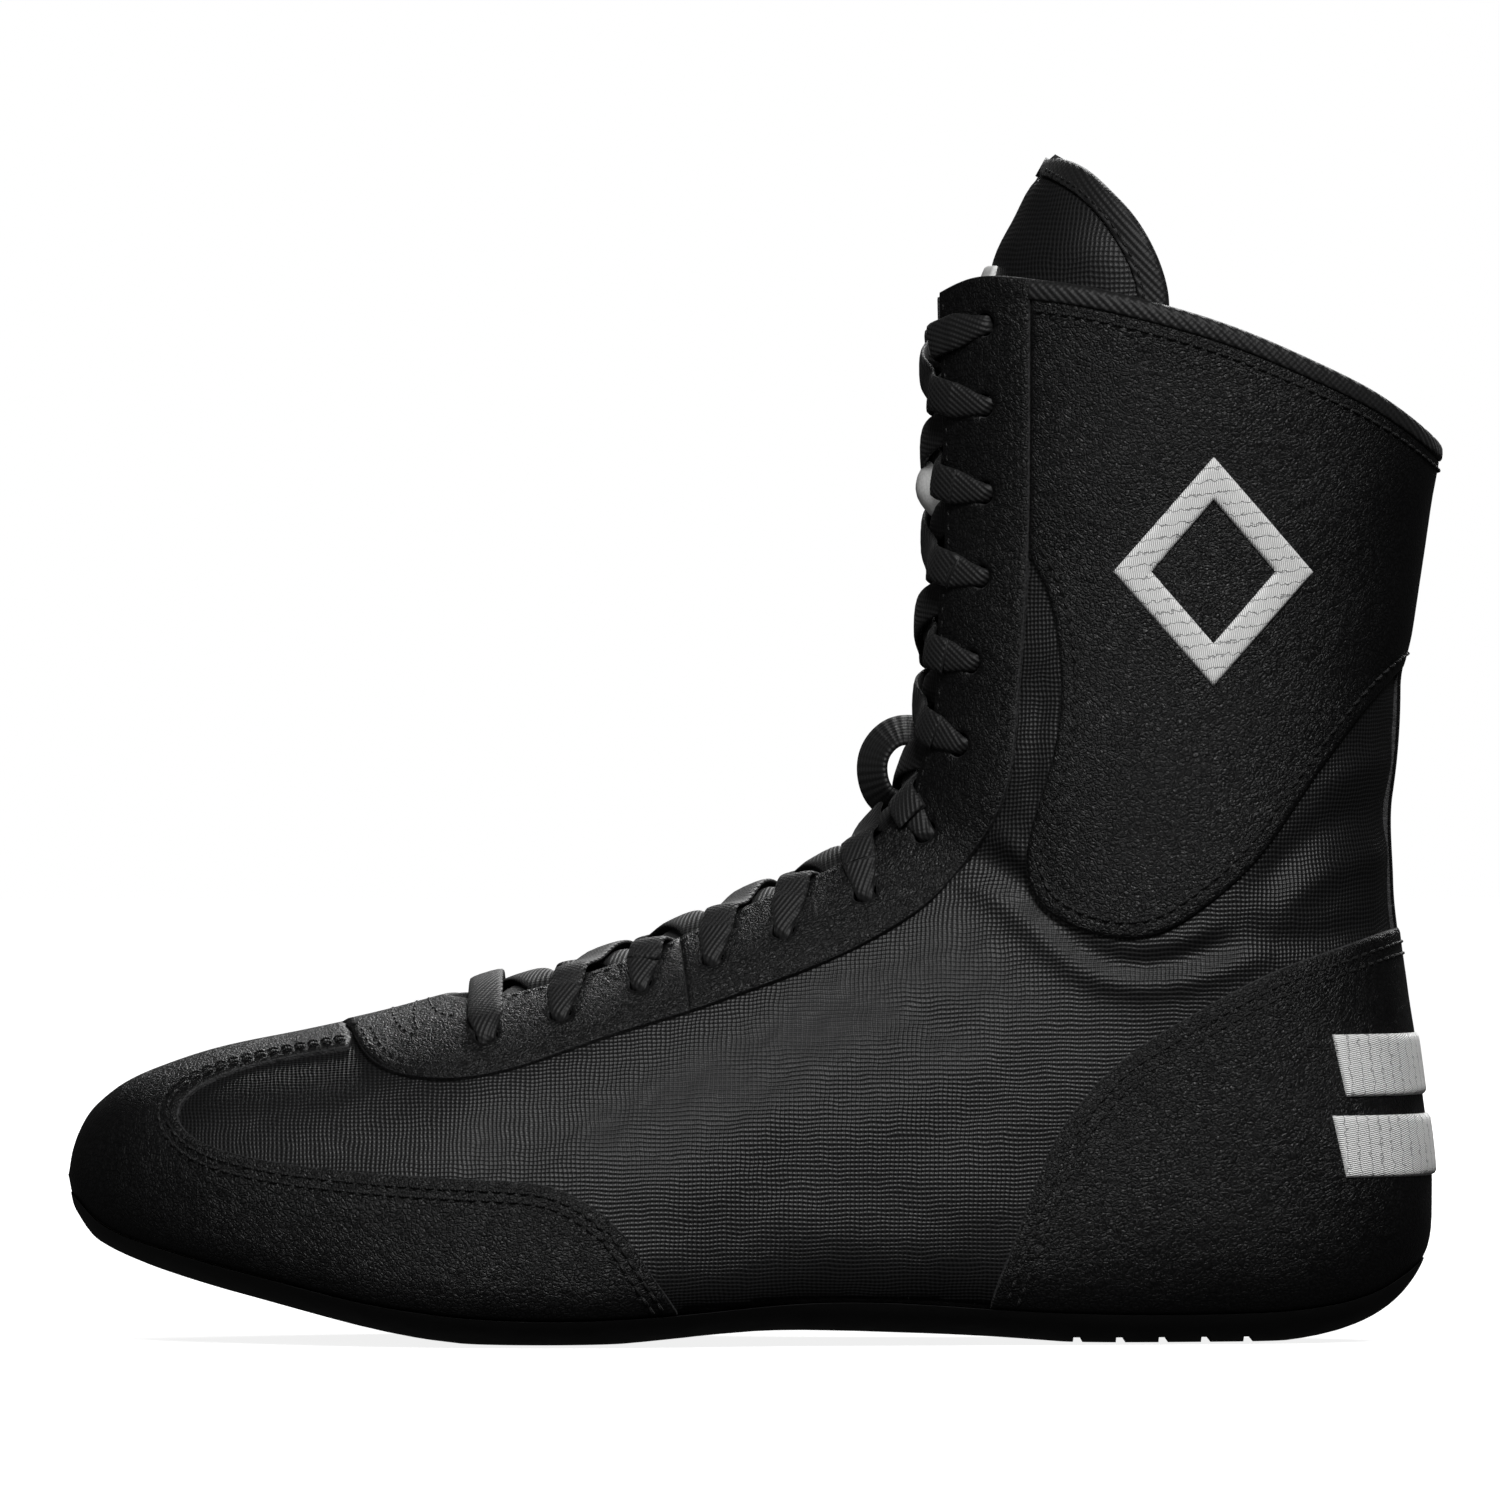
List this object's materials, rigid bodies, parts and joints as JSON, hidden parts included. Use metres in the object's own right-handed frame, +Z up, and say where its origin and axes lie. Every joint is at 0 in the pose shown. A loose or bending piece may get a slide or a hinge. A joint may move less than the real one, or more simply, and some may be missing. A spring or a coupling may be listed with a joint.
{
  "type": "boxing boot",
  "caption": "Left high-top lace-up boxing boot: thin curved rubber sole, mesh body, leather toe cap, heel and ankle panels, a wide tongue and a flat lace.",
  "frame": {"origin": "on the floor, under the middle of the boot's bounding box", "axes": "+X towards the toe, +Y towards the outer (lateral) side, +Z up"},
  "size_m": [0.2909, 0.099, 0.252],
  "materials": {
    "leather": "fine pebble grain, soft sheen",
    "mesh": "open square-weave mesh",
    "tongue_mesh": "padded woven mesh",
    "webbing": "ribbed woven tape",
    "lace": "flat woven",
    "lining": "knitted lining",
    "backing": "non-woven",
    "stiffener": "impregnated fibre sheet",
    "board": "fibre board",
    "sock_foam": "fabric-covered foam",
    "sole_rubber": "matt moulded rubber",
    "embroidery": "satin stitch",
    "label_rubber": "moulded soft rubber",
    "aglet_plastic": "clear-coated film"
  },
  "bodies": {
    "foot": {"outsole": "sole_rubber", "insole_board": "board", "sock_liner": "sock_foam", "toe_cap": "leather", "heel_counter": "leather", "throat_facing": "leather", "eyestay_lateral": "leather", "eyestay_medial": "leather", "back_strip": "leather", "mesh_panel_lateral": "mesh", "mesh_panel_medial": "mesh", "toe_puff": "stiffener", "heel_stiffener": "stiffener", "midfoot_backing_lateral": "backing", "midfoot_backing_medial": "backing", "lining": "lining", "tongue": "tongue_mesh", "tongue_loop": "webbing", "heel_emblem": "embroidery", "lace": "lace"},
    "shaft": {"ankle_panel_lateral": "leather", "ankle_panel_medial": "leather", "eyelet_backing_lateral": "backing", "eyelet_backing_medial": "backing", "collar_binding": "webbing", "tongue_binding": "webbing", "ankle_emblem_lateral": "embroidery", "ankle_emblem_medial": "embroidery", "tongue_label_lower": "label_rubber", "tongue_label_upper": "label_rubber", "aglet_lateral": "aglet_plastic", "aglet_medial": "aglet_plastic"}
  },
  "joints": [
    {"name": "ankle_flex", "type": "hinge", "parent": "foot", "child": "shaft", "pos_m": [-0.0928, 0, 0.088], "axis": [0, 1, 0], "range_deg": [-15, 20], "stiffness_Nm_per_rad": 1.5, "deforming": ["mesh_panel_lateral", "mesh_panel_medial", "eyestay_lateral", "eyestay_medial", "back_strip", "lining", "tongue", "tongue_loop", "lace"]}
  ]
}
